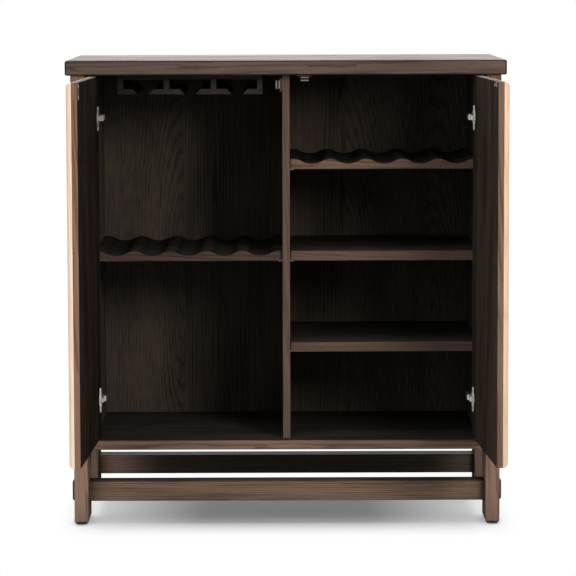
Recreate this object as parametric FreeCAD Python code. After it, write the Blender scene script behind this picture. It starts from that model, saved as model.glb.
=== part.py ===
import FreeCAD, Part
import math
import os

# Bar armoire with its two doors standing open.
# Millimetres. +X is to the right, +Y to the back, +Z up.
# The origin is on the floor, in the middle of the four posts.

V = FreeCAD.Vector

# Top
top_width = 1016.0
top_depth = 528.0
top_thickness = 34.0
overall_height = 1080.0
side_overhang = 12.0
front_overhang = 13.0
rear_overhang = 13.0
top_corner_radius = 5.5
top_edge_round = 4.5

# Posts and feet
leg_width = 32.5
leg_depth = 114.0
leg_edge_round = 1.2
foot_chamfer = 3.0
glide_thickness = 3.0
glide_inset = 4.0

# Stretchers
stretcher_height = 46.0
stretcher_depth = 54.0
stretcher_underside = 50.0
stretcher_edge_round = 1.2
tenon_thickness = 34.0
tenon_proud = 7.0
tenon_chamfer = 3.0

# Carcass
side_thickness = 16.5
bottom_thickness = 22.0
bottom_surface = 197.5
divider_thickness = 17.5
back_thickness = 9.0
back_inset = 30.0
board_edge_round = 0.8

# Doors
door_panel_thickness = 13.5
door_front_thickness = 12.5
door_front_round = 12.0
door_panel_round = 0.8
door_setback = 3.5
door_hinge_gap = 3.0
door_centre_gap = 3.0
door_end_gap = 2.5
divider_gap = 1.2
swing_clearance = 1.8
left_open_angle = 92.2
right_open_angle = 93.1

# Shelves and bottle racks
shelf_thickness = 23.0
shelf_side_gap = 1.5
shelf_back_gap = 5.0
lowest_bay_height = 202.0
top_bay_height = 196.0
scallop_pitch = 84.0
scallop_depth = 10.8

# Shelf pins
pin_stem_radius = 2.5
pin_hole_web = 1.5
pin_tongue_length = 9.0
pin_tongue_width = 8.0
pin_tongue_thickness = 4.5
pin_from_shelf_end = 40.0

# Stemware rack
rack_setback = 60.0
rack_back_gap = 33.0
rack_divider_distance = 45.25
rack_side_distance = 56.0
rack_board_thickness = 11.5
rail_stem_height = 22.0
rail_stem_width = 12.8
rail_flange_thickness = 12.5
rail_edge_width = 46.25
rail_bevel = 12.0
glass_slot = 25.5
rack_screw_from_end = 45.0

# Magnetic catches and strike plates
catch_ear = 7.5
catch_flange = 5.2
catch_depth = 14.0
catch_wall = 1.5
catch_back_wall = 1.0
catch_cover = 1.6
catch_floor = 0.6
pole_thickness = 1.6
pole_length = 17.0
pole_proud = 1.0
magnet_thickness = 5.0
magnet_recess = 1.0
catch_top_gap = 5.5
catch_from_divider = 35.0
catch_gap = 0.5
strike_length = 36.0
strike_width = 11.0
strike_thickness = 1.2
strike_screw_spacing = 24.0

# Concealed hinges
lower_hinge_distance = 90.0
upper_hinge_distance = 97.5
cup_radius = 17.5
cup_backing = 1.2
cup_wall = 1.2
cup_floor = 0.8
cup_bore_edge = 4.5
cup_seat_clearance = 0.05
flange_thickness = 1.8
flange_end = 5.5
flange_width = 16.0
flange_rim = 1.8
cup_screw_spacing = 46.0
hinge_pin_radius = 1.5
hinge_pin_clearance = 0.05
hinge_pin_offset = 4.5
pin_lug_width = 7.0
pin_lug_side_gap = 1.8
nose_radius = 2.5
nose_clearance = 0.5
nose_bar_thickness = 3.8
neck_thickness = 4.0
neck_width = 11.0
neck_clearance = 2.0
arm_top_height = 24.0
arm_width = 13.0
arm_wall = 2.5
arm_top_wall = 3.0
arm_skirt_gap = 13.0
arm_length = 52.0
arm_front_gap = 4.0
arm_edge_round = 1.5
plate_thickness = 3.0
plate_end = 7.0
plate_wing_width = 15.0
plate_clearance = 0.3
plate_screw_spacing = 38.0

# Screws and dowels
wood_screw_radius = 1.75
wood_screw_head_radius = 3.4
wood_screw_head_height = 2.0
wood_screw_length = 12.0
door_screw_cover = 3.0
recess_width = 0.9
recess_depth = 1.0
arm_screw_head_radius = 3.5
arm_screw_head_height = 2.2
arm_screw_length = 12.0
arm_screw_radius = 2.0
back_screw_length = 22.0
top_dowel_radius = 5.0
top_dowel_length = 40.0
top_dowel_spacing = 60.0
leg_dowel_radius = 4.0
leg_dowel_length = 22.0
leg_dowel_end_distance = 120.0

# One overrun for every cut
over = 1.0

# Shares of the pieces that carry them
recess_length_share = 1.3
scallop_valley_share = 0.575
first_arm_screw_share = 0.2
second_arm_screw_share = 0.72
plate_wing_share = 0.5

# Places worked out from the driving dimensions
base_width = top_width - 2 * side_overhang
base_depth = top_depth - front_overhang - rear_overhang
leg_outer = base_width / 2
leg_inner = leg_outer - leg_width
side_inner = leg_inner - side_thickness
half_divider = divider_thickness / 2
front = -base_depth / 2
rear = base_depth / 2
top_underside = overall_height - top_thickness
bottom_underside = bottom_surface - bottom_thickness
back_face = rear - back_inset - back_thickness

door_thickness = door_panel_thickness + door_front_thickness
door_outer_face = front + door_setback
door_inner_face = door_outer_face + door_thickness
door_joint_face = door_outer_face + door_front_thickness
door_hinge_edge = leg_inner - door_hinge_gap
door_free_edge = door_centre_gap / 2
door_low = bottom_surface + door_end_gap
door_high = top_underside - door_end_gap
hinge_heights = (door_low + lower_hinge_distance, door_high - upper_hinge_distance)

cup_depth = door_panel_thickness - cup_backing
cup_edge_distance = cup_bore_edge + cup_radius
flange_length = cup_screw_spacing + 2 * flange_end
hinge_pin_edge_distance = cup_edge_distance - hinge_pin_offset
hinge_pin_depth = cup_depth - cup_floor - nose_clearance - nose_radius
pin_x = door_hinge_edge - hinge_pin_edge_distance
pin_y = door_inner_face - hinge_pin_depth
swing_radius = math.hypot(hinge_pin_edge_distance, hinge_pin_depth)
side_front = pin_y + swing_radius + swing_clearance
divider_front = door_inner_face + divider_gap

shelf_front = side_front
shelf_back = back_face - shelf_back_gap
low_shelf = bottom_surface + lowest_bay_height
high_shelf = top_underside - top_bay_height - shelf_thickness
mid_shelf = (low_shelf + high_shelf) / 2

pin_stem_length = (divider_thickness - pin_hole_web) / 2

nodes = {}


def block(x0, x1, y0, y1, z0, z1):
    """A box between two corners."""
    return Part.makeBox(x1 - x0, y1 - y0, z1 - z0, V(x0, y0, z0))


def rod(radius, length, base, direction):
    return Part.makeCylinder(radius, length, base, direction)


def prism(points, direction):
    """A closed flat outline, pushed along a direction."""
    outline = Part.makePolygon(points + [points[0]])
    return Part.Face(outline).extrude(direction)


def joined(shapes):
    return shapes[0].multiFuse(shapes[1:]).removeSplitter()


def mirrored(shape):
    return shape.mirror(V(0, 0, 0), V(1, 0, 0))


def straight_edges(shape, axis, test):
    """The straight edges along an axis whose middle passes a test."""
    found = []
    for edge in shape.Edges:
        if edge.Curve.TypeId != "Part::GeomLine":
            continue
        run = edge.Vertexes[1].Point - edge.Vertexes[0].Point
        if abs(run.normalize().dot(axis)) > 0.999 and test(edge.CenterOfMass):
            found.append(edge)
    return found


def any_place(point):
    return True


def rounded(shape, radius, axes, test=any_place):
    """Eases the straight edges along some axes that pass a test."""
    edges = []
    for axis in axes:
        edges += straight_edges(shape, axis, test)
    return shape.makeFillet(radius, edges)


def placed(shape, point, direction):
    """Turns a shape's own +Z to a direction and moves its origin to a point."""
    copy = shape.copy()
    copy.Placement = FreeCAD.Placement(point, FreeCAD.Rotation(V(0, 0, 1), direction))
    return copy


def near(value, target):
    return abs(value - target) < over / 10


X_AXIS = V(1, 0, 0)
Y_AXIS = V(0, 1, 0)
Z_AXIS = V(0, 0, 1)


# Screws and dowels, each made along its own +Z, with its seat at the origin

def cross_recess(head_radius, seat):
    """The cross that a driver fits, sunk below a seat height."""
    half = head_radius * recess_length_share / 2
    wide = recess_width / 2
    low = seat - recess_depth
    first = block(-half, half, -wide, wide, low, seat + over)
    second = block(-wide, wide, -half, half, low, seat + over)
    return joined([first, second])


def countersunk_screw(length):
    """Its head is flush with z = 0 and its shank runs down."""
    shank = rod(wood_screw_radius, length, V(0, 0, -length), Z_AXIS)
    head = Part.makeCone(wood_screw_radius, wood_screw_head_radius, wood_screw_head_height,
                         V(0, 0, -wood_screw_head_height), Z_AXIS)
    return joined([shank, head])


def pan_screw(radius, length, head_radius, head_height):
    """Its head stands on z = 0 and its shank runs down."""
    shank = rod(radius, length, V(0, 0, -length), Z_AXIS)
    head = rod(head_radius, head_height, V(0, 0, 0), Z_AXIS)
    top_edge = [edge for edge in head.Edges if near(edge.CenterOfMass.z, head_height)]
    head = head.makeFillet(head_height / 2, top_edge[:1])
    return joined([shank, head])


class Fasteners:
    """A group of like screws: what is cut for them, and the screws with their recess."""

    def __init__(self, seat_shape, recess):
        self.seat_shape = seat_shape
        self.finished = seat_shape.cut(recess)
        self.seats = []
        self.screws = []

    def add(self, point, direction):
        self.seats.append(placed(self.seat_shape, point, direction))
        self.screws.append(placed(self.finished, point, direction))

    def cut_from(self, shape):
        return shape.cut(self.seats)

    def group(self):
        return Part.makeCompound(self.screws)


def wood_screws(length=wood_screw_length):
    return Fasteners(countersunk_screw(length), cross_recess(wood_screw_head_radius, 0))


# Top panel

top_panel = block(-top_width / 2, top_width / 2, front - front_overhang, rear + rear_overhang,
                  top_underside, overall_height)
top_panel = rounded(top_panel, top_corner_radius, [Z_AXIS])
top_rim = [edge for edge in top_panel.Edges if near(edge.CenterOfMass.z, overall_height)
           or near(edge.CenterOfMass.z, top_underside)]
top_panel = top_panel.makeFillet(top_edge_round, top_rim)


# Posts, their glides and the dowels that hold them

def leg_blank(side, y0):
    """One plank post, with its foot edges chamfered. side is -1 on the left, 1 on the right."""
    inner, outer = sorted((side * leg_inner, side * leg_outer))
    leg = block(inner, outer, y0, y0 + leg_depth, glide_thickness, top_underside)
    leg = rounded(leg, leg_edge_round, [Z_AXIS])
    foot = [edge for edge in leg.Edges if near(edge.CenterOfMass.z, glide_thickness)]
    return leg.makeChamfer(foot_chamfer, foot)


leg_rows = {"front": front, "rear": rear - leg_depth}
sides = {"left": -1, "right": 1}

top_dowels = []
leg_dowels = []
glides = []
for y0 in leg_rows.values():
    middle_y = y0 + leg_depth / 2
    for side in sides.values():
        middle_x = side * (leg_inner + leg_outer) / 2
        for step in (-1, 1):
            y = middle_y + step * top_dowel_spacing / 2
            start = V(middle_x, y, top_underside - top_dowel_length / 2)
            top_dowels.append(rod(top_dowel_radius, top_dowel_length, start, Z_AXIS))
        low = bottom_surface + leg_dowel_end_distance
        high = top_underside - leg_dowel_end_distance
        for height in (low, (low + high) / 2, high):
            start = V(side * leg_inner - leg_dowel_length / 2, middle_y, height)
            leg_dowels.append(rod(leg_dowel_radius, leg_dowel_length, start, X_AXIS))
        glide_x = leg_width / 2 - glide_inset
        glide = block(middle_x - glide_x, middle_x + glide_x, y0 + glide_inset,
                      y0 + leg_depth - glide_inset, 0, glide_thickness)
        glides.append(rounded(glide, glide_inset, [Z_AXIS]))


# Stretchers with proud through tenons

def stretcher(y0):
    """A rail centred on the posts whose front is at y0, with its tenons."""
    middle = y0 + leg_depth / 2
    low, high = stretcher_underside, stretcher_underside + stretcher_height
    rail = block(-leg_inner, leg_inner, middle - stretcher_depth / 2, middle + stretcher_depth / 2, low, high)
    rail = rounded(rail, stretcher_edge_round, [X_AXIS])
    reach = leg_outer + tenon_proud
    tenon = block(-reach, reach, middle - tenon_thickness / 2, middle + tenon_thickness / 2, low, high)
    ends = [edge for edge in tenon.Edges if near(abs(edge.CenterOfMass.x), reach)]
    tenon = tenon.makeChamfer(tenon_chamfer, ends)
    return rail.fuse(tenon).removeSplitter()


nodes["front_stretcher"] = stretcher(leg_rows["front"])
nodes["rear_stretcher"] = stretcher(leg_rows["rear"])

for row, y0 in leg_rows.items():
    for word, side in sides.items():
        leg = leg_blank(side, y0).cut([nodes[row + "_stretcher"]] + top_dowels + leg_dowels)
        nodes["leg_" + row + "_" + word] = leg
top_panel = top_panel.cut(top_dowels)


# Carcass boards. Back screws go through the back panel into the boards before it.

back_rear = back_face + back_thickness
back_panel = block(-leg_inner, leg_inner, back_face, back_rear, bottom_underside, top_underside)
back_screws = wood_screws(back_screw_length)
screw_rise = (top_underside - bottom_underside) / 4
for x in (-leg_inner + side_thickness / 2, 0, leg_inner - side_thickness / 2):
    for step in (1, 2, 3):
        back_screws.add(V(x, back_rear, bottom_underside + step * screw_rise), Y_AXIS)
for side in (-1, 1):
    back_screws.add(V(side * side_inner / 2, back_rear, bottom_surface - bottom_thickness / 2), Y_AXIS)

side_panels = {}
for word, side in sides.items():
    inner, outer = sorted((side * side_inner, side * leg_inner))
    board = block(inner, outer, side_front, back_face, bottom_underside, top_underside)
    board = rounded(board, board_edge_round, [Z_AXIS], lambda point: near(point.y, side_front))
    side_panels[word] = board.cut(leg_dowels)

bottom_panel = joined([
    block(-side_inner, side_inner, front, back_face, bottom_underside, bottom_surface),
    block(-leg_inner, leg_inner, front, side_front, bottom_underside, bottom_surface),
])
bottom_panel = rounded(bottom_panel, board_edge_round, [X_AXIS], lambda point: near(point.y, front))

centre_divider = rounded(
    block(-half_divider, half_divider, divider_front, back_face, bottom_surface, top_underside),
    board_edge_round, [Z_AXIS], lambda point: near(point.y, divider_front))


# Shelves: plain boards, and racks whose top is a row of scallops along X

def bay_ends(side):
    """The two ends of a shelf in the bay on one side."""
    return sorted((side * (half_divider + shelf_side_gap), side * (side_inner - shelf_side_gap)))


def plain_shelf(side, underside):
    x0, x1 = bay_ends(side)
    shelf = block(x0, x1, shelf_front, shelf_back, underside, underside + shelf_thickness)
    return rounded(shelf, board_edge_round, [X_AXIS], lambda point: near(point.y, shelf_front))


def scallop_edges(start, crest):
    """Arcs of one scallop: over the crest's shoulder, through the valley and up to the next crest."""
    half = scallop_pitch / 2
    both_radii = (half ** 2 + scallop_depth ** 2) / (2 * scallop_depth)
    crest_radius = both_radii * (1 - scallop_valley_share)
    slope = math.asin(half / both_radii)

    def on_crest(angle, x, turn):
        return V(x + turn * crest_radius * math.sin(angle), 0, crest - crest_radius * (1 - math.cos(angle)))

    end = start + scallop_pitch
    valley = V(start + half, 0, crest - scallop_depth)
    fall, rise = on_crest(slope, start, 1), on_crest(slope, end, -1)
    return [
        Part.Arc(on_crest(0, start, 1), on_crest(slope / 2, start, 1), fall).toShape(),
        Part.Arc(fall, valley, rise).toShape(),
        Part.Arc(rise, on_crest(slope / 2, end, -1), on_crest(0, end, -1)).toShape(),
    ]


def bottle_rack(side, underside):
    """A shelf with scallops from front to back, as many as fit the bay."""
    x0, x1 = bay_ends(side)
    crest = underside + shelf_thickness
    count = int((x1 - x0) / scallop_pitch)
    first = (x0 + x1 - count * scallop_pitch) / 2
    last = first + count * scallop_pitch
    top_run = []
    for step in range(count):
        top_run += scallop_edges(first + step * scallop_pitch, crest)
    around = Part.makePolygon([V(last, 0, crest), V(x1, 0, crest), V(x1, 0, underside), V(x0, 0, underside),
                               V(x0, 0, crest), V(first, 0, crest)])
    outline = Part.Wire(top_run + around.Edges)
    rack = Part.Face(outline).extrude(V(0, shelf_back - shelf_front, 0))
    rack.translate(V(0, shelf_front, 0))
    return rack


nodes["left_bottle_rack"] = bottle_rack(-1, mid_shelf)
nodes["right_bottle_rack"] = bottle_rack(1, high_shelf)
nodes["middle_shelf"] = plain_shelf(1, mid_shelf)
nodes["lower_shelf"] = plain_shelf(1, low_shelf)


# Shelf pins: a stem in the board's hole and a flat tongue under the shelf

def shelf_pin(face_x, inward, y, underside):
    """inward is the way from the board's face into the bay, -1 or 1 along X."""
    axis_z = underside - pin_tongue_thickness / 2
    stem = rod(pin_stem_radius, pin_stem_length, V(face_x, y, axis_z), V(-inward, 0, 0))
    x0, x1 = sorted((face_x, face_x + inward * pin_tongue_length))
    tongue = block(x0, x1, y - pin_tongue_width / 2, y + pin_tongue_width / 2,
                   underside - pin_tongue_thickness, underside)
    return stem.fuse(tongue).removeSplitter()


shelf_pins = []
for side, underside in ((-1, mid_shelf), (1, high_shelf), (1, mid_shelf), (1, low_shelf)):
    for y in (shelf_front + pin_from_shelf_end, shelf_back - pin_from_shelf_end):
        shelf_pins.append(shelf_pin(side * half_divider, side, y, underside))
        shelf_pins.append(shelf_pin(side * side_inner, -side, y, underside))
nodes["shelf_pins"] = Part.makeCompound(shelf_pins)


# Stemware rack: a board under the top with two edge rails and two tee rails below it

rack_right = -half_divider - rack_divider_distance
rack_left = -side_inner + rack_side_distance
rail_tee_width = (rack_right - rack_left - 2 * rail_edge_width - 3 * glass_slot) / 2
rack_front = front + rack_setback
rack_back = back_face - rack_back_gap
board_low = top_underside - rack_board_thickness
stem_low = board_low - rail_stem_height
flange_low = stem_low - rail_flange_thickness


def glass_rail(x0, x1, stem_x0, bevel_left, bevel_right):
    """A rail from board to flange: its stem starts at stem_x0, its flange spans x0 to x1."""
    stem_x1 = stem_x0 + rail_stem_width
    outline = [(x0, flange_low), (x1, flange_low), (x1 - bevel_right, stem_low), (stem_x1, stem_low),
               (stem_x1, board_low), (stem_x0, board_low), (stem_x0, stem_low), (x0 + bevel_left, stem_low)]
    points = []
    for x, z in outline:
        point = V(x, rack_front, z)
        if not points or (point - points[-1]).Length > over / 10:
            points.append(point)
    return prism(points, V(0, rack_back - rack_front, 0))


left_tee = rack_left + rail_edge_width + glass_slot
right_tee = left_tee + rail_tee_width + glass_slot
tee_stem = (rail_tee_width - rail_stem_width) / 2
nodes["glass_rail_left_edge"] = glass_rail(rack_left, rack_left + rail_edge_width, rack_left, 0, rail_bevel)
nodes["glass_rail_left_tee"] = glass_rail(left_tee, left_tee + rail_tee_width, left_tee + tee_stem,
                                          rail_bevel, rail_bevel)
nodes["glass_rail_right_tee"] = glass_rail(right_tee, right_tee + rail_tee_width, right_tee + tee_stem,
                                           rail_bevel, rail_bevel)
nodes["glass_rail_right_edge"] = glass_rail(rack_right - rail_edge_width, rack_right,
                                            rack_right - rail_stem_width, rail_bevel, 0)

rack_screws = wood_screws(rack_board_thickness + wood_screw_length)
slot_middles = [rack_left + rail_edge_width + glass_slot / 2, (rack_left + rack_right) / 2,
                rack_right - rail_edge_width - glass_slot / 2]
for x in slot_middles:
    for y in (rack_front + rack_screw_from_end, rack_back - rack_screw_from_end):
        rack_screws.add(V(x, y, board_low), -Z_AXIS)
rack_board = block(rack_left, rack_right, rack_front, rack_back, board_low, top_underside)
nodes["glass_rack_board"] = rack_screws.cut_from(rack_board)
nodes["glass_rack_screws"] = rack_screws.group()
top_panel = rack_screws.cut_from(top_panel)


# Magnetic catches, made with the mounting face on z = 0, the length along X and the front at y = 0

catch_block_length = pole_length + 2 * catch_wall
catch_length = catch_block_length + 2 * catch_ear
catch_screw_spacing = catch_block_length + catch_ear
catch_height = catch_flange + catch_floor + 2 * pole_thickness + magnet_thickness + catch_cover
catch_drop = catch_top_gap + catch_length / 2
pole_depth = catch_depth - catch_back_wall
pole_middle = catch_flange + catch_floor + pole_thickness + magnet_thickness / 2
catch_y = door_inner_face + strike_thickness + catch_gap + pole_proud


def catch_pieces():
    """The housing, its two pole plates and the magnet between them."""
    flange = block(-catch_length / 2, catch_length / 2, 0, catch_depth, 0, catch_flange)
    flange = rounded(flange, catch_flange, [Z_AXIS])
    half_block = catch_block_length / 2
    body = block(-half_block, half_block, 0, catch_depth, 0, catch_height)
    first = catch_flange + catch_floor
    second = first + pole_thickness + magnet_thickness
    half_pole = pole_length / 2
    slot = block(-half_pole, half_pole, -over, pole_depth, first, second + pole_thickness)
    housing = joined([flange, body]).cut(slot)
    poles = [block(-half_pole, half_pole, -pole_proud, pole_depth, low, low + pole_thickness)
             for low in (first, second)]
    magnet = block(-half_pole, half_pole, magnet_recess, pole_depth, first + pole_thickness, second)
    return housing, Part.makeCompound(poles), magnet


catch_spots = {
    "left": FreeCAD.Placement(V(-half_divider, catch_y, top_underside - catch_drop),
                              FreeCAD.Rotation(Y_AXIS, -90)),
    "right": FreeCAD.Placement(V(half_divider + catch_from_divider, catch_y, top_underside),
                               FreeCAD.Rotation(Y_AXIS, 180)),
}
catch_screws = wood_screws()
for word, spot in catch_spots.items():
    for step in (-1, 1):
        seat = spot.multVec(V(step * catch_screw_spacing / 2, catch_depth / 2, catch_flange))
        catch_screws.add(seat, spot.Rotation.multVec(Z_AXIS))
for word, spot in catch_spots.items():
    for name, piece in zip(("housing", "poles", "magnet"), catch_pieces()):
        piece.Placement = spot
        nodes[word + "_catch_" + name] = catch_screws.cut_from(piece) if name == "housing" else piece
nodes["catch_screws"] = catch_screws.group()
top_panel = catch_screws.cut_from(top_panel)
centre_divider = catch_screws.cut_from(centre_divider)


# Doors. All that rides on a door is made with the door closed, on the right, then turned open.

def door_boards():
    """The dark inner panel and the pale front board, whose outer edges are rounded over."""
    panel = block(door_free_edge, door_hinge_edge, door_joint_face, door_inner_face, door_low, door_high)
    panel = rounded(panel, door_panel_round, [X_AXIS, Z_AXIS], lambda point: near(point.y, door_inner_face))
    board = block(door_free_edge, door_hinge_edge, door_outer_face, door_joint_face, door_low, door_high)
    front_round = min(door_front_round, door_front_thickness - door_panel_round)
    board = rounded(board, front_round, [X_AXIS, Z_AXIS], lambda point: near(point.y, door_outer_face))
    return panel, board


def hinge_cup(height):
    """A cup let into the panel, with a flange on its face and two lugs for the pin."""
    x = door_hinge_edge - cup_edge_distance
    bottom = door_inner_face - cup_depth
    face = door_inner_face + flange_thickness
    centre = V(x, bottom, height)
    shell = rod(cup_radius, cup_depth, centre, Y_AXIS)
    rim = rod(cup_radius + flange_rim, flange_thickness, V(x, door_inner_face, height), Y_AXIS)
    wings = block(x - flange_width / 2, x + flange_width / 2, door_inner_face, face,
                  height - flange_length / 2, height + flange_length / 2)
    wings = rounded(wings, flange_width / 3, [Y_AXIS])
    inside_radius = cup_radius - cup_wall
    inside = rod(inside_radius, cup_depth + flange_thickness + over, centre + V(0, cup_floor, 0), Y_AXIS)
    lug_start = neck_width / 2 + pin_lug_side_gap
    lug_row = block(pin_x - pin_lug_width / 2, pin_x + pin_lug_width / 2, bottom,
                    pin_y + pin_lug_width / 2, height - cup_radius, height + cup_radius)
    lug_row = lug_row.cut(block(pin_x - pin_lug_width, pin_x + pin_lug_width, bottom - over,
                                pin_y + pin_lug_width, height - lug_start, height + lug_start))
    lugs = lug_row.common(rod(cup_radius, cup_depth, centre, Y_AXIS))
    return joined([shell, rim, wings]).cut(inside).fuse(lugs).removeSplitter()


def hinge_pin(height):
    half = math.sqrt((cup_radius - cup_wall / 2) ** 2 - (cup_edge_distance - hinge_pin_edge_distance) ** 2)
    return rod(hinge_pin_radius, 2 * half, V(pin_x, pin_y, height - half), Z_AXIS)


def cup_seat(height):
    """The hole in the panel that takes a cup."""
    start = V(door_hinge_edge - cup_edge_distance, door_inner_face - cup_depth, height)
    return rod(cup_radius + cup_seat_clearance, cup_depth + over, start, Y_AXIS)


def strike(word):
    """The steel plate that meets a catch, and the screws that hold it, on a closed door on the right."""
    if word == "left":
        half_x, half_z = strike_width / 2, strike_length / 2
        x, z = half_divider + pole_middle, top_underside - catch_drop
        step_way = Z_AXIS
    else:
        half_x, half_z = strike_length / 2, strike_width / 2
        x, z = half_divider + catch_from_divider, top_underside - pole_middle
        step_way = X_AXIS
    face = door_inner_face + strike_thickness
    plate = block(x - half_x, x + half_x, door_inner_face, face, z - half_z, z + half_z)
    plate = rounded(plate, strike_thickness, [Y_AXIS])
    screws = wood_screws(strike_thickness + door_screw_depth)
    for way in (-1, 1):
        screws.add(V(x, face, z) + step_way * (way * strike_screw_spacing / 2), Y_AXIS)
    return plate, screws


door_screw_depth = door_panel_thickness - door_screw_cover
open_angles = {"left": left_open_angle, "right": right_open_angle}


def hung(shape, word):
    """Turns a piece of the closed right door to its open place, or to its mirror on the left."""
    turned = shape.copy()
    turned.rotate(V(pin_x, pin_y, 0), Z_AXIS, open_angles[word])
    return mirrored(turned) if word == "left" else turned


for word in sides:
    panel, board = door_boards()
    plate, strike_screws = strike(word)
    cup_screws = wood_screws(flange_thickness + door_screw_depth)
    cups, pins = {}, []
    for level, height in zip(("lower", "upper"), hinge_heights):
        pin = hinge_pin(height)
        pins.append(pin)
        for way in (-1, 1):
            seat = V(door_hinge_edge - cup_edge_distance, door_inner_face + flange_thickness,
                     height + way * cup_screw_spacing / 2)
            cup_screws.add(seat, Y_AXIS)
        cups[level] = hinge_cup(height).cut(pin)
        panel = panel.cut(cup_seat(height))
    panel = strike_screws.cut_from(cup_screws.cut_from(panel))
    nodes[word + "_door_panel"] = hung(panel, word)
    nodes[word + "_door_front"] = hung(board, word)
    nodes[word + "_strike_plate"] = hung(strike_screws.cut_from(plate), word)
    nodes[word + "_strike_screws"] = hung(strike_screws.group(), word)
    nodes[word + "_hinge_pins"] = hung(Part.makeCompound(pins), word)
    nodes[word + "_cup_screws"] = hung(cup_screws.group(), word)
    for level, cup in cups.items():
        nodes[word + "_" + level + "_hinge_cup"] = hung(cup_screws.cut_from(cup), word)


# Hinge arms and their plates, made on the right side panel and mirrored to the left

neck_near = pin_x - hinge_pin_depth - flange_thickness - neck_clearance
neck_far = neck_near - neck_thickness
arm_face = side_inner - arm_top_height
arm_skirt = arm_top_height - plate_thickness - arm_skirt_gap
arm_front = side_front + arm_front_gap
arm_back = arm_front + arm_length
arm_screw_seat = arm_face + arm_screw_head_height
first_screw_y = arm_front + arm_length * first_arm_screw_share
second_screw_y = arm_front + arm_length * second_arm_screw_share
wing_y = arm_front + arm_length * plate_wing_share
plate_span = plate_screw_spacing + 2 * plate_end


def hinge_arm(height):
    """A channel over the plate, a neck that reaches forward and a nose that turns on the cup's pin."""
    half = arm_width / 2
    channel = block(arm_face, arm_face + arm_skirt, arm_front, arm_back, height - half, height + half)
    inner = half - arm_wall
    channel = channel.cut(block(arm_face + arm_top_wall, arm_face + arm_skirt + over, arm_front + arm_wall,
                                arm_back + over, height - inner, height + inner))
    channel = rounded(channel, arm_edge_round, [Y_AXIS], lambda point: near(point.x, arm_face))
    half = neck_width / 2
    bar_half = nose_bar_thickness / 2
    neck = block(neck_far, neck_near, pin_y - bar_half, arm_front + arm_wall, height - half, height + half)
    bar = block(neck_far, pin_x, pin_y - bar_half, pin_y + bar_half, height - half, height + half)
    nose = rod(nose_radius, neck_width, V(pin_x, pin_y, height - half), Z_AXIS)
    arm = joined([channel, neck, bar, nose])
    at_elbow = lambda point: near(point.x, neck_far) and near(point.y, pin_y - bar_half)
    arm = rounded(arm, neck_thickness / 2, [Z_AXIS], at_elbow)
    bore_radius = hinge_pin_radius + hinge_pin_clearance
    bore = rod(bore_radius, neck_width + 2 * over, V(pin_x, pin_y, height - half - over), Z_AXIS)
    return arm.cut(bore)


def hinge_plate(height):
    """A base with two wings on the side panel, and the block that the arm sits on."""
    inner = arm_width / 2 - arm_wall - plate_clearance
    start = arm_front + arm_wall + plate_clearance
    block_top = arm_face + arm_top_wall
    body = block(block_top, side_inner, start, arm_back, height - inner, height + inner)
    wings = block(side_inner - plate_thickness, side_inner, wing_y - plate_wing_width / 2,
                  wing_y + plate_wing_width / 2, height - plate_span / 2, height + plate_span / 2)
    wings = rounded(wings, plate_wing_width / 3, [X_AXIS])
    return joined([body, wings])


plate_screws = wood_screws()
arm_screw_recess = cross_recess(arm_screw_head_radius, arm_screw_head_height)
arm_screws = Fasteners(pan_screw(arm_screw_radius, arm_screw_length, arm_screw_head_radius,
                                 arm_screw_head_height), arm_screw_recess)
for side in sides.values():
    inward = V(-side, 0, 0)
    for height in hinge_heights:
        for way in (-1, 1):
            plate_screws.add(V(side * (side_inner - plate_thickness), wing_y,
                               height + way * plate_screw_spacing / 2), inward)
        for y in (first_screw_y, second_screw_y):
            arm_screws.add(V(side * arm_screw_seat, y, height), inward)

for word, side in sides.items():
    for level, height in zip(("lower", "upper"), hinge_heights):
        arm, plate = hinge_arm(height), hinge_plate(height)
        if side < 0:
            arm, plate = mirrored(arm), mirrored(plate)
        nodes[word + "_" + level + "_hinge_arm"] = arm_screws.cut_from(arm)
        nodes[word + "_" + level + "_hinge_plate"] = plate_screws.cut_from(arm_screws.cut_from(plate))
    side_panels[word] = plate_screws.cut_from(side_panels[word])
nodes["hinge_plate_screws"] = plate_screws.group()
nodes["hinge_arm_screws"] = arm_screws.group()


# The boards, last, with the holes for pins and screws

nodes["top_panel"] = top_panel
for word, board in side_panels.items():
    nodes["side_panel_" + word] = back_screws.cut_from(board.cut(shelf_pins))
nodes["bottom_panel"] = back_screws.cut_from(bottom_panel)
nodes["centre_divider"] = back_screws.cut_from(centre_divider.cut(shelf_pins))
nodes["back_panel"] = back_screws.cut_from(back_panel)
nodes["back_screws"] = back_screws.group()
nodes["top_dowels"] = Part.makeCompound(top_dowels)
nodes["leg_dowels"] = Part.makeCompound(leg_dowels)
nodes["foot_glides"] = Part.makeCompound(glides)

os.makedirs("parts", exist_ok=True)
for name, shape in nodes.items():
    shape.exportStep("parts/" + name + ".step")
print(len(nodes), "nodes, door pin at", round(pin_x, 3), round(pin_y, 3))
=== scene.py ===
"""Bar armoire in smoked oak with pale oak door fronts, both doors standing open, in a white studio."""

import math

import bpy
from mathutils import Matrix, Vector


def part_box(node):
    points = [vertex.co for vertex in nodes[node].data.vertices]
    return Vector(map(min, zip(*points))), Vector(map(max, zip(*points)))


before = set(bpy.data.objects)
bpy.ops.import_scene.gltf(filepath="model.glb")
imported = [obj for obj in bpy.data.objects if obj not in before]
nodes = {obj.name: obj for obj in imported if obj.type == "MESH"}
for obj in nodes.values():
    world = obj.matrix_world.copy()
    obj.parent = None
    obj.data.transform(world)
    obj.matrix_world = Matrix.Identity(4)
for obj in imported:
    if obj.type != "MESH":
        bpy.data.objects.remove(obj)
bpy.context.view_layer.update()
scene = bpy.context.scene
MM = 0.001


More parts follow.
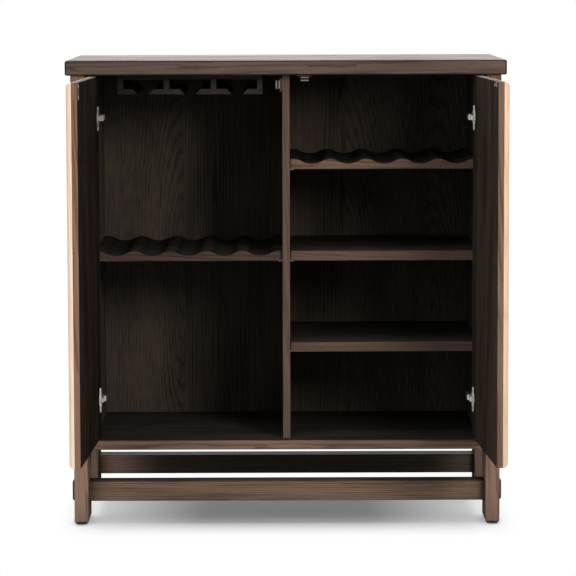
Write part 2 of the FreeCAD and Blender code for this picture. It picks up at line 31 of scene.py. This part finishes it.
def linear(code):
    """An sRGB hex colour as a linear RGBA value."""
    shares = [int(code[place:place + 2], 16) / 255 for place in (1, 3, 5)]
    return [s / 12.92 if s <= 0.04045 else ((s + 0.055) / 1.055) ** 2.4 for s in shares] + [1.0]


# Sockets go by name or by number. Map Range reads from 1 to 2 and gives 3 to 4. A colour Mix takes its two
# colours at 6 and 7 and gives the result at 2.
def add(tree, kind, links=None, **settings):
    """Adds one node: settings are its properties, links are socket values or sockets to join."""
    made = tree.nodes.new("ShaderNode" + kind)
    for name, value in settings.items():
        setattr(made, name, value)
    for key, value in (links or {}).items():
        if isinstance(value, bpy.types.NodeSocket):
            tree.links.new(value, made.inputs[key])
        else:
            made.inputs[key].default_value = value
    return made


def new_material(name):
    """An empty node material with its output node."""
    material = bpy.data.materials.new(name)
    material.use_nodes = True
    material.node_tree.nodes.clear()
    return material, material.node_tree, material.node_tree.nodes.new("ShaderNodeOutputMaterial")


def dress(material, *names):
    """Gives a material to CAD nodes."""
    for name in names:
        slots = nodes[name].data.materials
        slots.clear()
        slots.append(material)


# Oak. A board is cut from a log: growth rings run round the heart, which lies behind the face, and the
# log tapers, so rings show as tall arches on a wide face and as straight lines on an edge.
# The ways a board is turned, each given as the turn that brings its width to X, depth to Y, grain to Z.
UPRIGHT_FACING_FRONT = (0, 0, 0)
UPRIGHT_FACING_SIDE = (0, 0, math.radians(90))
LYING_FLAT = (math.radians(-90), math.radians(-90), 0)
LYING_ON_EDGE = (0, math.radians(-90), 0)
RUNNING_BACK = (math.radians(90), 0, 0)

# Real oak rings are 2 to 4 mm wide and its pores 0.3 mm; both are drawn coarser so that they show.
RING_WIDTH = 5.5 * MM
LEAF_WIDTH = 105 * MM
HALF_LEAF = 0.5
LOG_LENGTH = 3000 * MM
LOG_TAPER = 0.06
HEART_DEPTHS = (6 * MM, 48 * MM)
HEART_REACH_SHARES = (-1.2, 0.2)
BUMP_DEPTH = 0.25 * MM
ARRIS_WIDTH = 2.5 * MM
NOOK_REACH = 70 * MM

# Each figure's width across the grain, its length along it and how finely its noise is broken up.
FIBRES = (5 * MM, 240 * MM, 2.0)
MOTTLE = (110 * MM, 450 * MM, 2.0)
PORES = (2.2 * MM, 55 * MM, 1.0)

# A wave texture at scale 1 has a ring every 2 pi / 20; noise along the grain makes the rings wander.
WAVE_RING = 2 * math.pi / 20
RING_WANDER = {"Distortion": 9.0, "Detail": 3.0, "Detail Scale": 0.55, "Detail Roughness": 0.55}
GRAIN_STRETCH = 0.1

# How far each figure lightens or darkens the wood, as a share of the way from its dark to its light.
RING_TONE = 0.2
FIBRE_TONE = 0.22
MOTTLE_TONE = 0.25
LEAF_TONE = 0.1
PORE_TONE = -0.3
MIDDLE_TONE = 0.5

# The part of each figure's own range that counts: its first end gives the least of it, its second the most.
NOISE_RANGE = (0.25, 0.75)
PORE_RANGE = (0.56, 0.7)
EARLY_WOOD_RANGE = (0.65, 0.05)
LATE_WOOD_RANGE = (0.0, 0.55)
# The same for how squarely a surface faces a way, how open a corner is, and how far an arris or round turns.
FACING_RANGE = (0.6, 0.9)
NOOK_RANGE = (0.95, 0.5)
ARRIS_RANGE = (0.97, 0.8)
ROUND_RANGE = (0.99, 0.9)

# Painted shade in the corners and along each arris, and the warm sheen of the wood's fibres.
NOOK_SHADE_COLOUR = "#26231f"
ARRIS_SHADE_COLOUR = "#0c0908"
FIBRE_SHEEN = "#e0bda8"
FACE_DULLNESS = 0.3


def board_turn(cut):
    """The turn that brings a board's width to X, its depth to Y and its grain to Z."""
    return Matrix.Rotation(cut[2], 3, "Z") @ Matrix.Rotation(cut[1], 3, "Y") @ Matrix.Rotation(cut[0], 3, "X")


def log_place(tree, board, cut, leaf, log_taper, slip):
    """The board's own axes, where its points lay in the log, and three chances drawn for each leaf."""
    low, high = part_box(board)
    centre = (low + high) / 2
    where = add(tree, "TexCoord")
    place = add(tree, "Mapping", {"Vector": where.outputs["Object"], "Rotation": cut,
                                  "Location": -(board_turn(cut) @ centre)})
    axes = add(tree, "SeparateXYZ", {0: place.outputs[0]})
    # Veneer leaves or planks lie side by side, each from another place along the log.
    count = add(tree, "Math", {0: axes.outputs["X"], 1: 1 / leaf, 2: HALF_LEAF + slip},
                operation="MULTIPLY_ADD")
    leaf_number = add(tree, "Math", {0: count.outputs[0]}, operation="FLOOR")
    across = add(tree, "Math", {0: count.outputs[0]}, operation="FRACT")
    draw = add(tree, "TexWhiteNoise", {"W": leaf_number.outputs[0]}, noise_dimensions="1D")
    chance = add(tree, "SeparateXYZ", {0: draw.outputs["Color"]})
    heart = add(tree, "MapRange", {0: chance.outputs["X"], 3: HEART_REACH_SHARES[0] * leaf,
                                   4: HEART_REACH_SHARES[1] * leaf})
    width = add(tree, "Math", {0: across.outputs[0], 1: leaf, 2: heart.outputs[0]}, operation="MULTIPLY_ADD")
    along = add(tree, "Math", {0: chance.outputs["Y"], 1: LOG_LENGTH, 2: axes.outputs["Z"]},
                operation="MULTIPLY_ADD")
    heart_depth = add(tree, "MapRange", {0: chance.outputs["Y"], 3: HEART_DEPTHS[0], 4: HEART_DEPTHS[1]})
    lean = add(tree, "MapRange", {0: chance.outputs["Z"], 3: -log_taper, 4: log_taper})
    taper = add(tree, "Math", {0: axes.outputs["Z"], 1: lean.outputs[0], 2: heart_depth.outputs[0]},
                operation="MULTIPLY_ADD")
    depth = add(tree, "Math", {0: axes.outputs["Y"], 1: taper.outputs[0]}, operation="ADD")
    log = add(tree, "CombineXYZ", {0: width.outputs[0], 1: depth.outputs[0], 2: along.outputs[0]})
    return axes, log, chance


def grain_tone(tree, log, chance, ring, contrast, mottled):
    """From 0, dark, to 1, light: latewood is lighter, early wood and its pores hold the stain."""
    drawn_out = add(tree, "VectorMath", {0: log.outputs[0], 1: (1, 1, GRAIN_STRETCH)}, operation="MULTIPLY")
    rings = add(tree, "TexWave", {"Vector": drawn_out.outputs[0], "Scale": WAVE_RING / ring, **RING_WANDER},
                wave_type="RINGS", rings_direction="Z", wave_profile="SAW")
    figures = []
    for figure_width, figure_length, detail in (FIBRES, MOTTLE, PORES):
        stretch = (1 / figure_width, 1 / figure_width, 1 / figure_length)
        figure_place = add(tree, "VectorMath", {0: log.outputs[0], 1: stretch}, operation="MULTIPLY")
        figures.append(add(tree, "TexNoise", {"Vector": figure_place.outputs[0], "Scale": 1.0,
                                              "Detail": detail}))
    fibres, mottle, specks = figures
    pores = add(tree, "MapRange", {0: specks.outputs[0], 1: PORE_RANGE[0], 2: PORE_RANGE[1]})
    early = add(tree, "MapRange", {0: rings.outputs["Fac"], 1: EARLY_WOOD_RANGE[0], 2: EARLY_WOOD_RANGE[1]})
    open_pores = add(tree, "Math", {0: pores.outputs[0], 1: early.outputs[0]}, operation="MULTIPLY")
    ring_tone = add(tree, "MapRange", {0: rings.outputs["Fac"], 1: LATE_WOOD_RANGE[0], 2: LATE_WOOD_RANGE[1],
                                       3: -RING_TONE, 4: RING_TONE})
    fibre_tone = add(tree, "MapRange", {0: fibres.outputs[0], 1: NOISE_RANGE[0], 2: NOISE_RANGE[1],
                                        3: -FIBRE_TONE, 4: FIBRE_TONE})
    mottle_tone = add(tree, "MapRange", {0: mottle.outputs[0], 1: NOISE_RANGE[0], 2: NOISE_RANGE[1],
                                         3: -MOTTLE_TONE * mottled, 4: MOTTLE_TONE * mottled})
    leaf_tone = add(tree, "MapRange", {0: chance.outputs["Z"], 3: -LEAF_TONE * mottled,
                                       4: LEAF_TONE * mottled})
    tone = add(tree, "Math", {0: ring_tone.outputs[0], 1: fibre_tone.outputs[0]}, operation="ADD")
    tone = add(tree, "Math", {0: tone.outputs[0], 1: mottle_tone.outputs[0]}, operation="ADD")
    tone = add(tree, "Math", {0: tone.outputs[0], 1: leaf_tone.outputs[0]}, operation="ADD")
    tone = add(tree, "Math", {0: open_pores.outputs[0], 1: PORE_TONE, 2: tone.outputs[0]},
               operation="MULTIPLY_ADD")
    tone = add(tree, "Math", {0: tone.outputs[0], 1: contrast, 2: MIDDLE_TONE}, operation="MULTIPLY_ADD",
               use_clamp=True)
    return tone.outputs[0]


def facing(tree, way, either_side):
    """1 on the surfaces that face a way, or also its opposite, and 0 on the rest."""
    where = add(tree, "TexCoord")
    turned = add(tree, "VectorMath", {0: where.outputs["Normal"], 1: way}, operation="DOT_PRODUCT")
    turned = turned.outputs["Value"]
    if either_side:
        turned = add(tree, "Math", {0: turned}, operation="ABSOLUTE").outputs[0]
    return add(tree, "MapRange", {0: turned, 1: FACING_RANGE[0], 2: FACING_RANGE[1]}).outputs[0]


def on_arris(tree, arris_shade):
    """Painted shade: a darker line along each arris, and on its sanded round."""
    softened = add(tree, "Bevel", {"Radius": ARRIS_WIDTH}, samples=4)
    true_face = add(tree, "NewGeometry")
    turned = add(tree, "VectorMath", {0: softened.outputs[0], 1: true_face.outputs["Normal"]},
                 operation="DOT_PRODUCT")
    beside = add(tree, "MapRange", {0: turned.outputs["Value"], 1: ARRIS_RANGE[0], 2: ARRIS_RANGE[1],
                                    3: 0.0, 4: arris_shade})
    where = add(tree, "TexCoord")
    square = add(tree, "VectorMath", {0: where.outputs["Normal"]}, operation="ABSOLUTE")
    square = add(tree, "SeparateXYZ", {0: square.outputs[0]})
    squarest = add(tree, "Math", {0: square.outputs[0], 1: square.outputs[1]}, operation="MAXIMUM")
    squarest = add(tree, "Math", {0: squarest.outputs[0], 1: square.outputs[2]}, operation="MAXIMUM")
    rounded = add(tree, "MapRange", {0: squarest.outputs[0], 1: ROUND_RANGE[0], 2: ROUND_RANGE[1],
                                     3: 0.0, 4: arris_shade})
    return add(tree, "Math", {0: beside.outputs[0], 1: rounded.outputs[0]}, operation="MAXIMUM").outputs[0]


def oak(board, cut, edge, face=None, inside=None, ends=None, fade=None, leaf=LEAF_WIDTH, ring=RING_WIDTH,
        log_taper=LOG_TAPER, gloss=0.3, roughness=(0.42, 0.6), contrast=1.0, mottled=1.0, slip=0.0,
        relief_strength=0.3, arris_shade=0.5, nook_shade=0.0, sheen=0.0, wood="oak"):
    """Stained wood for one board: edge, face and ends are (dark, light) colour pairs, some holding painted
    light, shade or sheen.

    The face colour lies on the side that inside names, and fades out along the grain over fade.
    """
    material, tree, output = new_material(wood + "_" + board)
    axes, log, chance = log_place(tree, board, cut, leaf, log_taper, slip)
    tone = grain_tone(tree, log, chance, ring, contrast, mottled)
    satin = add(tree, "MapRange", {0: tone, 3: roughness[1], 4: roughness[0]}).outputs[0]
    colour = add(tree, "Mix", {0: tone, 6: linear(edge[0]), 7: linear(edge[1])}, data_type="RGBA").outputs[2]
    if face:
        on_face = facing(tree, *inside)
        if fade:
            lit_end = add(tree, "MapRange", {0: axes.outputs["Z"], 1: fade[0], 2: fade[1], 3: 1.0, 4: 0.0},
                           interpolation_type="SMOOTHSTEP")
            on_face = add(tree, "Math", {0: on_face, 1: lit_end.outputs[0]}, operation="MULTIPLY").outputs[0]
        face_colour = add(tree, "Mix", {0: tone, 6: linear(face[0]), 7: linear(face[1])}, data_type="RGBA")
        colour = add(tree, "Mix", {0: on_face, 6: colour, 7: face_colour.outputs[2]},
                     data_type="RGBA").outputs[2]
        satin = add(tree, "Math", {0: on_face, 1: FACE_DULLNESS, 2: satin}, operation="MULTIPLY_ADD",
                    use_clamp=True).outputs[0]
    if ends:
        # Painted sheen: the end faces, a door's top and bottom, take a light grey like a grazing reflection
        # of the white studio.
        on_end = facing(tree, board_turn(cut).transposed() @ Vector((0, 0, 1)), True)
        end_sheen_colour = add(tree, "Mix", {0: tone, 6: linear(ends[0]), 7: linear(ends[1])}, data_type="RGBA")
        colour = add(tree, "Mix", {0: on_end, 6: colour, 7: end_sheen_colour.outputs[2]},
                     data_type="RGBA").outputs[2]
    if nook_shade:
        # Painted shade: corners between boards, and faces close to other parts, are darkened by ambient
        # occlusion.
        corner = add(tree, "AmbientOcclusion", {"Distance": NOOK_REACH}, samples=8)
        nook_shaded = add(tree, "MapRange", {0: corner.outputs["AO"], 1: NOOK_RANGE[0], 2: NOOK_RANGE[1],
                                         3: 0.0, 4: nook_shade})
        colour = add(tree, "Mix", {0: nook_shaded.outputs[0], 6: colour, 7: linear(NOOK_SHADE_COLOUR)},
                     data_type="RGBA").outputs[2]
    colour = add(tree, "Mix", {0: on_arris(tree, arris_shade), 6: colour, 7: linear(ARRIS_SHADE_COLOUR)},
                 data_type="RGBA").outputs[2]
    relief = add(tree, "Bump", {"Height": tone, "Strength": relief_strength, "Distance": BUMP_DEPTH})
    skin = add(tree, "BsdfPrincipled", {"Base Color": colour, "Roughness": satin, "Specular IOR Level": gloss,
                                        "Normal": relief.outputs[0], "Sheen Weight": sheen,
                                        "Sheen Tint": linear(FIBRE_SHEEN)})
    tree.links.new(skin.outputs[0], output.inputs["Surface"])
    dress(material, board)


# The ways that a board's inner face looks, and whether the opposite face is finished alike.
ACROSS = ((1, 0, 0), True)
UPWARD = ((0, 0, 1), True)
FRONTWARD = ((0, 1, 0), True)
TO_RIGHT = ((1, 0, 0), False)
TO_LEFT = ((-1, 0, 0), False)
TO_FRONT = ((0, -1, 0), False)

# Stains, each as its dark and its light: edges take lighter tones than broad inner faces, partly painted
# shade; left and right copies differ by painted light and shade.
TOP_STAIN = ("#3b302b", "#6a584f")
LEFT_POST_STAIN = ("#5f4b3c", "#8f7566")
RIGHT_POST_STAIN = ("#594639", "#866c5e")
REAR_RIGHT_POST_SHADED_STAIN = ("#4a3a30", "#6f5a4e")
LEFT_POST_SHADED_SIDE = ("#534741", "#847168")
RIGHT_POST_SHADED_SIDE = ("#5c524b", "#8d7f75")
FRONT_RAIL_STAIN = ("#48382e", "#7b6557")
FRONT_RAIL_SHADED_TOP = ("#38322d", "#625b56")
REAR_RAIL_SHADED_STAIN = ("#352d26", "#53483f")
REAR_RAIL_LIT_END = ("#846857", "#b49685")
DIVIDER_EDGE = ("#43362d", "#68554a")
BOTTOM_EDGE = ("#504136", "#7d6558")
SHELF_EDGE = ("#3d3029", "#604e44")
LEFT_RACK_EDGE = ("#342922", "#52433a")
RIGHT_RACK_EDGE = ("#47382e", "#6e584c")
UPRIGHT_FACE = ("#23201b", "#504840")
BACK_FACE = ("#211e19", "#4b433b")
FLAT_FACE = ("#1b1916", "#36332f")
GLASS_RACK_FACE = ("#1c1918", "#3a3431")
GLASS_RAIL_SHADED_STAIN = ("#131110", "#272321")
LEFT_DOOR_EDGE = ("#604839", "#896a59")
RIGHT_DOOR_EDGE = ("#4f4034", "#725e52")
LEFT_DOOR_FACE = ("#0f0c09", "#302823")
RIGHT_DOOR_FACE = ("#1a1510", "#473c34")
DOOR_END_SHEEN = ("#5f5b57", "#9a9591")
LEFT_PALE_FRONT = ("#dab69a", "#fbe3cb")
RIGHT_PALE_FRONT = ("#c29c80", "#e0c2a9")
BEECH = ("#b98d6a", "#d3ad8b")

# Smoked oak: the top has the glossiest lacquer, posts and rails a dry oil finish, inner boards a dull one.
# A slip moves a board along its pack of leaves, so that no two boards show the same figure.
oak("top_panel", LYING_FLAT, TOP_STAIN, leaf=110 * MM, ring=3.5 * MM, log_taper=0.015, gloss=0.118,
    roughness=(0.1, 0.5), contrast=0.9, mottled=1.4, relief_strength=0.35, arris_shade=0.9, sheen=0.07)
# Each post's inner side takes its own darker tone, painted shade; the rear right post takes a darker copy of
# the stain, painted shade.
for post, stain, shaded_inner_side, inward, slip, nook_shade in (
        ("front_left", LEFT_POST_STAIN, LEFT_POST_SHADED_SIDE, TO_RIGHT, 1.85, 0.3),
        ("front_right", RIGHT_POST_STAIN, RIGHT_POST_SHADED_SIDE, TO_LEFT, 2.55, 0.3),
        ("rear_left", LEFT_POST_STAIN, LEFT_POST_SHADED_SIDE, TO_RIGHT, 1.48, 0.7),
        ("rear_right", REAR_RIGHT_POST_SHADED_STAIN, RIGHT_POST_SHADED_SIDE, TO_LEFT, 2.04, 0.7)):
    oak("leg_" + post, UPRIGHT_FACING_SIDE, stain, shaded_inner_side, inward, gloss=0.0, contrast=1.4, slip=slip,
        arris_shade=0.25, nook_shade=nook_shade)
# The front rail's top face takes a darker, greyer tone: painted shade under the bottom panel.
oak("front_stretcher", LYING_ON_EDGE, FRONT_RAIL_STAIN, FRONT_RAIL_SHADED_TOP, UPWARD, ring=4 * MM, log_taper=0.02,
    gloss=0.0, contrast=1.6, mottled=1.5, slip=0.45, nook_shade=0.7)
# The rear rail's dark stain holds painted shade, and its front grows lighter towards the left end: a painted
# pool of light.
oak("rear_stretcher", LYING_ON_EDGE, REAR_RAIL_SHADED_STAIN, REAR_RAIL_LIT_END, TO_FRONT,
    fade=(-470 * MM, -300 * MM), ring=4 * MM, log_taper=0.02, gloss=0.03, roughness=(0.35, 0.5), contrast=1.6,
    slip=0.22)
oak("side_panel_left", UPRIGHT_FACING_SIDE, LEFT_POST_STAIN, UPRIGHT_FACE, TO_RIGHT, gloss=0.05)
oak("side_panel_right", UPRIGHT_FACING_SIDE, RIGHT_POST_STAIN, UPRIGHT_FACE, TO_LEFT, gloss=0.05)
oak("back_panel", UPRIGHT_FACING_FRONT, DIVIDER_EDGE, BACK_FACE, FRONTWARD, leaf=200 * MM, ring=7 * MM,
    log_taper=0.16, gloss=0.05, mottled=1.3, slip=0.76)
oak("centre_divider", UPRIGHT_FACING_SIDE, DIVIDER_EDGE, UPRIGHT_FACE, ACROSS, gloss=0.05)
# The left rack's edge is a darker copy of the right rack's: painted shade.
for shelf, edge, slip in (("bottom_panel", BOTTOM_EDGE, 1.72), ("left_bottle_rack", LEFT_RACK_EDGE, 4.96),
                          ("right_bottle_rack", RIGHT_RACK_EDGE, 5.27), ("middle_shelf", SHELF_EDGE, 3.72),
                          ("lower_shelf", SHELF_EDGE, 3.41)):
    oak(shelf, LYING_FLAT, edge, FLAT_FACE, UPWARD, gloss=0.03, contrast=1.4, mottled=1.3, slip=slip)
# The glass rack takes dark tones, partly painted shade under the top, and its left edge rail a darker copy
# still: painted shade.
oak("glass_rack_board", LYING_FLAT, GLASS_RACK_FACE, gloss=0.05)
for rail, stain, slip in (("left_edge", GLASS_RAIL_SHADED_STAIN, 1.53), ("left_tee", GLASS_RACK_FACE, 1.36),
                          ("right_tee", GLASS_RACK_FACE, 1.53), ("right_edge", GLASS_RACK_FACE, 1.7)):
    oak("glass_rail_" + rail, RUNNING_BACK, stain, gloss=0.05, slip=slip, nook_shade=0.7)
# The left and right door panels have lit and shaded copies of their edge and face tones, and a grey painted
# sheen on their ends.
for side, edge, face in (("left", LEFT_DOOR_EDGE, LEFT_DOOR_FACE),
                         ("right", RIGHT_DOOR_EDGE, RIGHT_DOOR_FACE)):
    oak(side + "_door_panel", UPRIGHT_FACING_SIDE, edge, face, ACROSS, DOOR_END_SHEEN, gloss=0.0,
        contrast=1.4)

# Pale oak: a thin matt lacquer on unstained boards, creamy and even, with no painted shade at their rounds;
# the left and right fronts are lit and shaded copies, painted light and shade.
for side, pale in (("left", LEFT_PALE_FRONT), ("right", RIGHT_PALE_FRONT)):
    oak(side + "_door_front", UPRIGHT_FACING_SIDE, pale, gloss=0.1, contrast=0.8, arris_shade=0.0)

# Steamed beech: the hidden dowels, pale pink-brown with a close even grain.
for pegs in ("top_dowels", "leg_dowels"):
    oak(pegs, UPRIGHT_FACING_SIDE, BEECH, contrast=0.5, arris_shade=0.0, wood="beech")

# Metals and plastics. A fine grain breaks up their gloss: it is really about 0.1 mm and is drawn coarser so
# that it shows. Each way of making has the grain's size, its detail and its relief's strength and depth.
PLATED = (0.8 * MM, 3.0, 0.15, 0.05 * MM)
MOULDED = (0.6 * MM, 4.0, 0.25, 0.1 * MM)
SINTERED = (0.7 * MM, 4.0, 0.25, 0.1 * MM)
SOFT_MOULDED = (0.8 * MM, 4.0, 0.25, 0.1 * MM)
HAZE_RANGE = (0.3, 0.7)


def fine_grained(name, made, colour, roughness, *names, metal=0.0):
    """A metal or plastic with a fine grain: colour and roughness are given as two ends of their range."""
    grit, detail, relief_strength, relief_depth = made
    material, tree, output = new_material(name)
    where = add(tree, "TexCoord")
    grain = add(tree, "TexNoise", {"Vector": where.outputs["Object"], "Scale": 1 / grit, "Detail": detail})
    haze = add(tree, "MapRange", {0: grain.outputs[0], 1: HAZE_RANGE[0], 2: HAZE_RANGE[1], 3: roughness[0],
                                  4: roughness[1]})
    relief = add(tree, "Bump", {"Height": grain.outputs[0], "Strength": relief_strength,
                                "Distance": relief_depth})
    tint = add(tree, "Mix", {0: grain.outputs[0], 6: linear(colour[0]), 7: linear(colour[1])},
               data_type="RGBA")
    skin = add(tree, "BsdfPrincipled", {"Base Color": tint.outputs[2], "Metallic": metal,
                                        "Roughness": haze.outputs[0], "Normal": relief.outputs[0]})
    tree.links.new(skin.outputs[0], output.inputs["Surface"])
    dress(material, *names)


# Nickel plate on stamped steel: a warm grey-white. Arms and plates have a satin shine, cups and screws are
# nearly matt, and the left upper hinge's arm and cup take a darker, duller copy: painted shade.
hinges = [side + "_" + level + "_hinge_" for side in ("left", "right") for level in ("upper", "lower")]
shaded_hinge, *bright_hinges = hinges
fine_grained("satin_nickel_plate", PLATED, ("#b5b0a8", "#d6d1ca"), (0.24, 0.36),
             *[hinge + "arm" for hinge in bright_hinges], *[hinge + "plate" for hinge in hinges],
             "left_hinge_pins", "right_hinge_pins", "left_strike_plate", "right_strike_plate", metal=1.0)
fine_grained("dull_nickel_plate", PLATED, ("#958f89", "#aaa49d"), (0.35, 0.5), shaded_hinge + "arm",
             shaded_hinge + "cup", metal=0.4)
fine_grained("matt_nickel_plate", PLATED, ("#ece8e2", "#fbf8f4"), (0.4, 0.55),
             *[hinge + "cup" for hinge in bright_hinges], "left_cup_screws", "right_cup_screws",
             "hinge_plate_screws", "hinge_arm_screws", "left_strike_screws", "right_strike_screws",
             "catch_screws", metal=0.2)
# Zinc plate: a darker and less warm grey with a soft gloss.
fine_grained("zinc_plated_steel", PLATED, ("#8a8784", "#aaa7a3"), (0.3, 0.45), "left_catch_poles",
             "right_catch_poles", "shelf_pins", metal=0.7)
# Blackened steel: an oiled black oxide with faint, broad highlights.
fine_grained("blackened_steel", PLATED, ("#2a2826", "#3d3a37"), (0.4, 0.55), "glass_rack_screws",
             "back_screws", metal=1.0)
# Moulded ABS: red-brown, with the even half-matt skin of a spark-eroded mould.
fine_grained("brown_abs", MOULDED, ("#2e130e", "#46211a"), (0.4, 0.55), "left_catch_housing",
             "right_catch_housing")
# Sintered ferrite: a matt charcoal block.
fine_grained("sintered_ferrite", SINTERED, ("#171413", "#262120"), (0.55, 0.75), "left_catch_magnet",
             "right_catch_magnet")
# Black polyethylene: the foot glides, waxy and dull.
fine_grained("black_polyethylene", SOFT_MOULDED, ("#0d0d0d", "#1c1c1c"), (0.5, 0.65), "foot_glides")


# White studio: the sky and floor show white to the eye and in gloss, and the floor keeps the shadow.
def met_by_eye(tree):
    """1 where the eye meets a surface, straight, in gloss or through glass, and 0 for stray light."""
    ray = add(tree, "LightPath").outputs
    seen = add(tree, "Math", {0: ray["Is Camera Ray"], 1: ray["Is Glossy Ray"]}, operation="MAXIMUM")
    seen = add(tree, "Math", {0: seen.outputs[0], 1: ray["Is Transmission Ray"]}, operation="MAXIMUM")
    return seen.outputs[0]


def studio_sky(level, tint):
    """A sky that lights with one level and tint, and shows to the eye as plain white."""
    world = bpy.data.worlds.new("studio_sky")
    scene.world = world
    world.use_nodes = True
    tree = world.node_tree
    tree.nodes.clear()
    seen = met_by_eye(tree)
    strength = add(tree, "MapRange", {0: seen, 3: level, 4: 1.0})
    colour = add(tree, "Mix", {0: seen, 6: linear(tint), 7: linear("#ffffff")}, data_type="RGBA")
    sky = add(tree, "Background", {"Color": colour.outputs[2], "Strength": strength.outputs[0]})
    end = tree.nodes.new("ShaderNodeOutputWorld")
    tree.links.new(sky.outputs[0], end.inputs["Surface"])


# Painted contact shadow: what stands just behind a point of the floor covers it, as a foot does, and the
# paper there is darkened most.
BACKWARD_AND_UP = (0.0, 0.97, 0.25)
COVER_RANGE = (0.75, 0.35)
CONTACT_SHADE = 0.9
CONTACT_SHADOW_COLOUR = "#151515"
# The eye meets the paper as white. Stray light meets it as grey, so that little comes back up.
PAPER_TO_EYE = "#fdfdfd"
PAPER_TO_STRAY_LIGHT = "#9a9a9a"


def studio_floor(shade_fill, shade_across, shade_end, shade_deep, contact_reach, floor_reach):
    """White paper: its shade grows lighter over shade_across and ends over shade_end and shade_deep."""
    bpy.ops.object.select_all(action="DESELECT")
    bpy.ops.mesh.primitive_circle_add(vertices=96, radius=floor_reach, fill_type="NGON")
    floor = bpy.context.object
    floor.name = "studio_floor"
    material, tree, output = new_material("white_seamless_paper")
    where = add(tree, "TexCoord")
    away = add(tree, "VectorMath", {0: where.outputs["Object"]}, operation="ABSOLUTE")
    away = add(tree, "SeparateXYZ", {0: away.outputs[0]}).outputs
    shaded = add(tree, "MapRange", {0: away["X"], 1: shade_across[0], 2: shade_across[1], 3: 1.0, 4: 0.0})
    for distance, span in ((away["X"], shade_end), (away["Y"], shade_deep)):
        within = add(tree, "MapRange", {0: distance, 1: span[0], 2: span[1], 3: 1.0, 4: 0.0},
                     interpolation_type="SMOOTHSTEP")
        shaded = add(tree, "Math", {0: shaded.outputs[0], 1: within.outputs[0]}, operation="MULTIPLY")
    lit = add(tree, "Math", {0: shaded.outputs[0], 1: shade_fill - 1.0, 2: 1.0}, operation="MULTIPLY_ADD")
    seen = met_by_eye(tree)
    bright = add(tree, "Math", {0: lit.outputs[0], 1: seen}, operation="MULTIPLY")
    white = add(tree, "Mix", {0: seen, 6: linear(PAPER_TO_STRAY_LIGHT), 7: linear(PAPER_TO_EYE)},
                data_type="RGBA")
    paper = add(tree, "BsdfDiffuse", {"Color": white.outputs[2]})
    glow = add(tree, "Emission", {"Color": linear("#ffffff"), "Strength": 1.0})
    surface = add(tree, "MixShader", {0: bright.outputs[0], 1: paper.outputs[0], 2: glow.outputs[0]})
    backward = add(tree, "CombineXYZ", dict(enumerate(BACKWARD_AND_UP)))
    cover = add(tree, "AmbientOcclusion", {"Distance": contact_reach, "Normal": backward.outputs[0]},
                samples=16)
    contact = add(tree, "MapRange", {0: cover.outputs["AO"], 1: COVER_RANGE[0], 2: COVER_RANGE[1], 3: 0.0,
                                     4: CONTACT_SHADE})
    contact_shadow = add(tree, "BsdfDiffuse", {"Color": linear(CONTACT_SHADOW_COLOUR)})
    surface = add(tree, "MixShader", {0: contact.outputs[0], 1: surface.outputs[0], 2: contact_shadow.outputs[0]})
    tree.links.new(surface.outputs[0], output.inputs["Surface"])
    floor.data.materials.append(material)
    return floor


def light_only(holder, pieces):
    """Keeps a lamp's light on the given pieces."""
    lit = bpy.data.collections.new(holder.name + "_receivers")
    for piece in pieces:
        lit.objects.link(piece)
    holder.light_linking.receiver_collection = lit


def soft_lamp(name, level, azimuth, elevation, spread, only):
    """A very large soft source far away: level is the brightness it gives a white surface facing it."""
    lamp = bpy.data.lights.new(name, "SUN")
    lamp.energy = level * math.pi
    lamp.angle = math.radians(spread)
    holder = bpy.data.objects.new(name, lamp)
    holder.rotation_euler = (math.radians(90 - elevation), 0, math.radians(azimuth))
    scene.collection.objects.link(holder)
    light_only(holder, only)


def soft_box(name, level, tint, place, aim, width, only):
    """A round softbox, not mirrored in lacquer: level is what it gives a white surface at its aim."""
    lamp = bpy.data.lights.new(name, "AREA")
    lamp.shape = "DISK"
    lamp.size = width
    lamp.color = linear(tint)[:3]
    throw = Vector(aim) - Vector(place)
    lamp.energy = level * (math.pi * throw.length) ** 2
    holder = bpy.data.objects.new(name, lamp)
    holder.location = place
    holder.rotation_euler = throw.to_track_quat("-Z", "Y").to_euler()
    holder.visible_glossy = False
    scene.collection.objects.link(holder)
    light_only(holder, only)


studio_sky(level=0.62, tint="#f6fbfb")
floor = studio_floor(shade_fill=0.14, shade_across=(0.195, 0.89), shade_end=(0.48, 0.55),
                     shade_deep=(0.225, 0.45), contact_reach=60 * MM, floor_reach=12.0)
pieces = list(nodes.values())
soft_lamp("overhead_softbox", level=0.28, azimuth=0, elevation=78, spread=50, only=pieces)
soft_box("right_key", level=0.5, tint="#fff8f1", place=(1.63, -3.4, 1.81), aim=(-0.2, 0.0, 0.6), width=1.1,
         only=pieces)
soft_lamp("left_strip", level=0.3, azimuth=-60, elevation=20, spread=70, only=pieces)
soft_lamp("floor_wash", level=0.78, azimuth=180, elevation=86, spread=22, only=[floor])

# The camera: a long lens a little above the top, looking slightly down.
LENS_PIXELS = 2961.8
PHOTO_PIXELS = 576
SENSOR = 36.0
EYE = (-11.2 * MM, -7075.0 * MM, 1265.9 * MM)
PITCH_DOWN = math.radians(5.958)
YAW_RIGHT = math.radians(0.125)
ROLL = math.radians(-0.156)
view = bpy.data.cameras.new("front_view")
view.sensor_width = SENSOR
view.lens = LENS_PIXELS * SENSOR / PHOTO_PIXELS
camera = bpy.data.objects.new("front_view", view)
camera.matrix_world = (Matrix.Translation(EYE) @ Matrix.Rotation(-YAW_RIGHT, 4, "Z")
                       @ Matrix.Rotation(math.pi / 2 - PITCH_DOWN, 4, "X") @ Matrix.Rotation(ROLL, 4, "Z"))
scene.collection.objects.link(camera)
scene.camera = camera
scene.view_settings.view_transform = "Standard"
